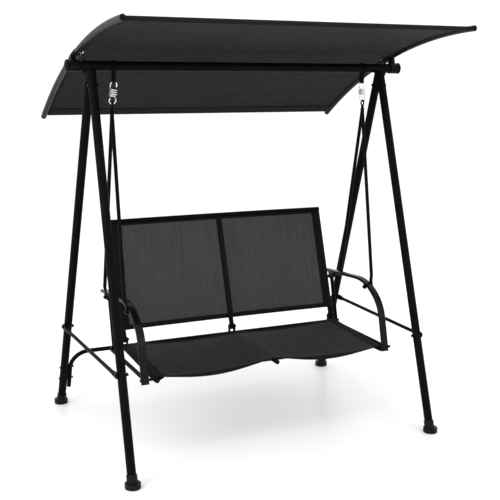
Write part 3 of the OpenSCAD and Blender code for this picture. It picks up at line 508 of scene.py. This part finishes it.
def make_canopy():
    """The canopy's cloth, hemmed round both tubes, with beads on its sides and stitched seams."""
    stations = canopy_stations()
    columns = [-CANOPY_HALF] + spread(-NOTCH_X, NOTCH_X, 64) + [CANOPY_HALF]
    rows = [[canopy_point(x, along, lift + (canopy_lift(x, along) if main else 0)) for x in columns]
            for along, lift, main in stations]
    middle = len(stations) // 2 - 1

    def in_notch(j, i):
        return j == middle and i in (0, len(columns) - 2)

    sheet = cloth_piece("canopy_cloth", rows, [CANOPY], CANOPY_THICK, gap=in_notch)
    settle(sheet, "canopy", "canopy_cloth", "canopy_fabric")

    beads = []
    for side in (-1, 1):
        for way in (-1, 1):
            run = spread(way * (NOTCH_Y + 0.004), way * (HEM_RUN - 0.012), 40)
            beads.append([canopy_point(side * (CANOPY_HALF - 0.0008), along, 0) for along in run])
    bead = settle(bars_piece("canopy_edge_beads", beads, BEAD_R, BEAD_SIDES, HEM_AND_SHADE), "canopy", "canopy_cloth")

    seams = []
    widths = spread(-CANOPY_HALF + 0.01, CANOPY_HALF - 0.01, 60)
    for way in (-1, 1):
        for inset, lift in ((0.038, 0.0013), (0.034, 0.0016), (0.038, -0.0032), (0.034, -0.0036)):
            along = way * (HEM_RUN - inset)
            seams.append([canopy_point(x, along, lift) for x in widths])
    for side in (-1, 1):
        for way in (-1, 1):
            run = spread(way * (NOTCH_Y + 0.01), way * (HEM_RUN - 0.045), 40)
            x = side * (NOTCH_X + 0.004)
            for lift in (0.001, -0.001):
                seams.append([canopy_point(x, along, canopy_lift(x, along) + lift) for along in run])
    thread = stitching("canopy_stitching", seams, "canopy", "canopy_cloth")


# ---------------------------------------------------------------- seat

RAIL_X = 0.543
RAIL_FRONT, RAIL_REAR = (-0.344, 0.363), (0.100, 0.385)
MIDDLE_RAIL_Z = 0.377
SEAT_LIFT, SEAT_SAG = 0.0117, 0.013
SEAT_FRONT, SEAT_REAR = -0.334, 0.0925
SLEEVE_R, SLEEVE_SEAM = 0.0115, 0.507
FRONT_SAG, FLAP_DROP, EDGE_DRAW = 0.004, 0.016, 0.004
SEAT_THICK, FLAP_THICK, HEM_THICK = 0.0011, 0.0010, 0.0009


def rail_z(y):
    """Height of the side rails' axes."""
    share = (y - RAIL_FRONT[0]) / (RAIL_REAR[0] - RAIL_FRONT[0])
    return RAIL_FRONT[1] + (RAIL_REAR[1] - RAIL_FRONT[1]) * share


def seat_z(x, y):
    """Height of the seat cloth: over the middle rail, sagging on both sides of it, most at the front."""
    u = min(abs(x) / RAIL_X, 1)
    span = 4 * u * (1 - u)
    level = MIDDLE_RAIL_Z * (1 - u) + rail_z(y) * u + SEAT_LIFT
    front = FRONT_SAG * ease((-0.18 - y) / 0.15)
    ripple = 0.0007 * span * noise_at((x * 9, y * 2.4, 5.2)) + 0.0004 * span * noise_at((x * 3, y * 17, 1.7))
    return level - (SEAT_SAG + front) * span + ripple


def seat_section(y):
    """The cloth's line across the seat at one place: sleeve, seat, sleeve."""
    half = [(x, seat_z(x, y)) for x in spread(0, SLEEVE_SEAM, 26)]
    half += [(x, seat_z(x, y)) for x in spread(SLEEVE_SEAM, RAIL_X - 0.004, 4)[1:]]
    for turn in range(85, -106, -19):
        angle = math.radians(turn)
        half.append((RAIL_X + SLEEVE_R * math.cos(angle), rail_z(y) + SLEEVE_R * math.sin(angle)))
    under = seat_z(SLEEVE_SEAM, y) - 0.0019
    half += [(RAIL_X - 0.018, (rail_z(y) - SLEEVE_R + under) / 2), (SLEEVE_SEAM, under)]
    return [vec(-x, y, z) for x, z in reversed(half[1:])] + [vec(x, y, z) for x, z in half]


def seat_edge(x):
    """Where the front edge lies: it draws back a little between the rails."""
    u = min(abs(x) / RAIL_X, 1)
    return SEAT_FRONT + EDGE_DRAW * 4 * u * (1 - u)


def make_seat():
    """The seat's cloth with sleeves round its side rails, a front flap, a rear hem and stitched seams."""
    sections = []
    for share in spread(0, 1, 26):
        row = []
        for point in seat_section(SEAT_FRONT + (SEAT_REAR - SEAT_FRONT) * share):
            back = (seat_edge(point.x) - SEAT_FRONT) * (1 - share)
            row.append(point + vec(0, back, 0))
        sections.append(row)
    seam_columns = [i for i, p in enumerate(sections[0]) if abs(abs(p.x) - SLEEVE_SEAM) < 1e-6]
    low, high = seam_columns[1], seam_columns[-2]

    def pick(j, i):
        return 0 if low <= i < high else 1

    sheet = cloth_piece("seat_cloth", sections, [SEAT_MESH, HEM_AND_SHADE], SEAT_THICK, pick=pick)
    settle(sheet, "bench", "mesh_cloth", "seat_sling")

    rows = []
    for x in spread(-SLEEVE_SEAM + 0.004, SLEEVE_SEAM - 0.004, 70):
        u = abs(x) / RAIL_X
        drop = 0.002 + FLAP_DROP * math.sin(math.pi * u) ** 1.7
        y = seat_edge(x)
        top = seat_z(x, y) + 0.0012
        section = [(0.022, 0.0005), (0.012, 0.0003), (0.003, 0), (-0.0006, -0.0012), (-0.0022, -0.3 * drop),
                   (-0.0018, -0.7 * drop), (0.0006, -drop), (0.004, -drop), (0.0065, -0.75 * drop),
                   (0.0075, -0.4 * drop - 0.001)]
        rows.append([vec(x, y + ahead, top + rise) for ahead, rise in section])
    # The flap's drooping faces take the dark hem finish as painted shade under the front edge; its top faces
    # keep the seat mesh.
    hem = cloth_piece("seat_front_hem", rows, [SEAT_MESH, HEM_AND_SHADE], FLAP_THICK,
                      pick=lambda j, i: 1 if i > 2 else 0)
    settle(hem, "bench", "mesh_cloth")

    rear_rows = []
    for x in spread(-SLEEVE_SEAM + 0.004, SLEEVE_SEAM - 0.004, 60):
        section = [(-0.020, 0.0011), (-0.004, 0.0011), (0.0012, 0.0002), (-0.004, -0.0011), (-0.020, -0.0011)]
        rear_rows.append([vec(x, SEAT_REAR + ahead, seat_z(x, SEAT_REAR + min(ahead, 0)) + rise)
                          for ahead, rise in section])
    rear_hem = settle(cloth_piece("seat_rear_hem", rear_rows, [HEM_AND_SHADE], HEM_THICK), "bench", "mesh_cloth")

    seams = []
    lengths = spread(SEAT_FRONT + 0.004, SEAT_REAR - 0.004, 40)
    for side in (-1, 1):
        for inset in (0.0, 0.005):
            x = side * (SLEEVE_SEAM + inset)
            seams.append([vec(x, y, seat_z(x, y) + 0.0008) for y in lengths])
    for ahead, base in ((0.018, 0.0023), (-0.016, 0.0019)):
        line = []
        for x in spread(-SLEEVE_SEAM + 0.01, SLEEVE_SEAM - 0.01, 90):
            y = seat_edge(x) + ahead if ahead > 0 else SEAT_REAR + ahead
            line.append(vec(x, y, seat_z(x, y) + base))
        seams.append(line)
    thread = stitching("seat_stitching", seams, "bench", "mesh_cloth")


# ---------------------------------------------------------------- back

POST_X, BACK_LOW_Z, BACK_LOW_Y = 0.535, 0.452, 0.120
BACK_LEAN, BACK_BOW = math.tan(math.radians(18.6)), 0.010
ROD_Z, ROD_WRAP_R = BACK_LOW_Z + 0.004, 0.0053
BACK_CLOTH_LOW, BACK_CLOTH_TOP = 0.4630, 0.9130
SLEEVE_LOW = 0.4505
POST_WRAP_R, SIDE_SEAM, MIDDLE_SEAM = 0.0119, 0.503, 0.0145
BACK_THICK, TOP_HEM_DEPTH = 0.0010, 0.012


def back_point(x, z, proud):
    """Point of the back: across, height, and how far it stands in front of the posts' axes."""
    bow = BACK_BOW * (1 - (x / POST_X) ** 2)
    lean = math.atan(BACK_LEAN)
    y = BACK_LOW_Y + (z - BACK_LOW_Z) * BACK_LEAN + bow
    return vec(x, y - proud * math.cos(lean), z + proud * math.sin(lean))


def back_proud(x, z):
    """How far the cloth stands forward of its sleeves: slightly behind them, unevenly, between the seams."""
    u = (abs(x) - MIDDLE_SEAM) / (SIDE_SEAM - MIDDLE_SEAM)
    span = 4 * u * (1 - u) if 0 < u < 1 else 0
    return -0.003 * span + 0.0006 * span * noise_at((x * 11, z * 3, 2.6))


def back_section(z):
    """The cloth's line across the back at one height: sleeve, panel, middle sleeve, panel, sleeve."""
    half = []
    for turn in (90, 68, 46, 24):
        angle = math.radians(turn)
        half.append((POST_WRAP_R * math.cos(angle), POST_WRAP_R * math.sin(angle)))
    half += [(0.0128, 0.0022), (MIDDLE_SEAM, 0.0008)]
    half += [(x, back_proud(x, z)) for x in spread(MIDDLE_SEAM, SIDE_SEAM, 24)[1:]]
    half += [(SIDE_SEAM + 0.008, 0.0022), (POST_X - 0.012, 0.0090)]
    for turn in range(115, -116, -23):
        angle = math.radians(turn)
        half.append((POST_X + POST_WRAP_R * math.cos(angle), POST_WRAP_R * math.sin(angle)))
    half += [(POST_X - 0.012, -0.0090), (SIDE_SEAM + 0.008, -0.0030), (SIDE_SEAM, -0.0019)]
    return [(-x, proud) for x, proud in reversed(half[1:])] + half


def panel_span(side):
    """Places across one panel, from its middle seam to its side seam."""
    return spread(side * (MIDDLE_SEAM + 0.002), side * (SIDE_SEAM - 0.001), 30)


def top_hem_rows(side):
    """A hem folded over the top edge of one panel."""
    section = [(-TOP_HEM_DEPTH, 0.0013), (-0.003, 0.0013), (0.0009, 0.0005), (0.0009, -0.0005),
               (-0.003, -0.0013), (-TOP_HEM_DEPTH, -0.0013)]
    return [[back_point(x, BACK_CLOTH_TOP + rise, back_proud(x, BACK_CLOTH_TOP) + proud)
             for rise, proud in section] for x in panel_span(side)]


def low_hem_rows(side):
    """A hem wrapped round the low rod under one panel."""
    seam_z, edge_z = BACK_CLOTH_LOW + 0.008, BACK_CLOTH_LOW + 0.003
    wrap = [math.radians(turn) for turn in range(40, -221, -26)]
    rows = []
    for x in panel_span(side):
        row = [back_point(x, seam_z, 0.0014), back_point(x, edge_z, 0.0030)]
        row += [back_point(x, ROD_Z, 0) + vec(0, -ROD_WRAP_R * math.cos(a), ROD_WRAP_R * math.sin(a))
                for a in wrap]
        row += [back_point(x, edge_z, -0.0030), back_point(x, seam_z, -0.0014)]
        rows.append(row)
    return rows


def make_back():
    """The back's cloth with sleeves round its posts, hems at its top and its low rod, and stitched seams."""
    heights = [SLEEVE_LOW, (SLEEVE_LOW + BACK_CLOTH_LOW) / 2] + spread(BACK_CLOTH_LOW, BACK_CLOTH_TOP, 26)
    sections = [[back_point(x, z, proud) for x, proud in back_section(z)] for z in heights]
    line = back_section(BACK_CLOTH_LOW)

    def on_panel(i):
        reach = abs(line[i][0] + line[i + 1][0]) / 2
        return MIDDLE_SEAM < reach < SIDE_SEAM and abs(line[i][1]) < 0.0045 and 6 < i < len(line) - 8

    def pick(j, i):
        return 0 if on_panel(i) else 1

    def above_rod(j, i):
        return j < 2 and on_panel(i)

    sheet = cloth_piece("back_cloth", sections, [BACK_MESH_LIT_THROUGH, HEM_AND_SHADE], BACK_THICK, pick=pick, gap=above_rod)
    settle(sheet, "bench", "mesh_cloth", "back_cloths")

    strip = [math.radians(turn) for turn in range(204, 337, 22)]
    wrap = [(POST_WRAP_R * math.cos(a), POST_WRAP_R * math.sin(a)) for a in strip]
    inner = [(-MIDDLE_SEAM, -0.0008), *wrap, (MIDDLE_SEAM, -0.0008)]
    sleeve = [[back_point(x, z, proud) for x, proud in inner] for z in heights]
    middle = cloth_piece("back_middle_sleeve", sleeve, [HEM_AND_SHADE], BACK_THICK)
    settle(middle, "bench", "mesh_cloth")

    hems = [middle]
    for side, word in ((-1, "left"), (1, "right")):
        top = cloth_piece(f"back_top_hem_{word}", top_hem_rows(side), [HEM_AND_SHADE], HEM_THICK)
        low = cloth_piece(f"back_low_hem_{word}", low_hem_rows(side), [HEM_AND_SHADE], HEM_THICK)
        hems += [settle(top, "bench", "mesh_cloth"), settle(low, "bench", "mesh_cloth")]

    seams = []
    rises = spread(BACK_CLOTH_LOW + 0.006, BACK_CLOTH_TOP - 0.006, 8)
    for side in (-1, 1):
        for x, proud in ((SIDE_SEAM + 0.001, 0.0014), (SIDE_SEAM + 0.005, 0.0022),
                         (MIDDLE_SEAM - 0.0006, 0.0014)):
            seams.append([back_point(side * x, z, proud) for z in rises])
        for z, proud in ((BACK_CLOTH_TOP - 0.009, 0.0022), (BACK_CLOTH_LOW + 0.006, 0.0030)):
            seams.append([back_point(x, z, proud + back_proud(x, z))
                          for x in spread(side * (MIDDLE_SEAM + 0.004), side * (SIDE_SEAM - 0.003), 30)])
    thread = stitching("back_stitching", seams, "bench", "mesh_cloth")


make_camera()
make_studio()
finish_nodes()
make_springs()
make_canopy()
make_seat()
make_back()
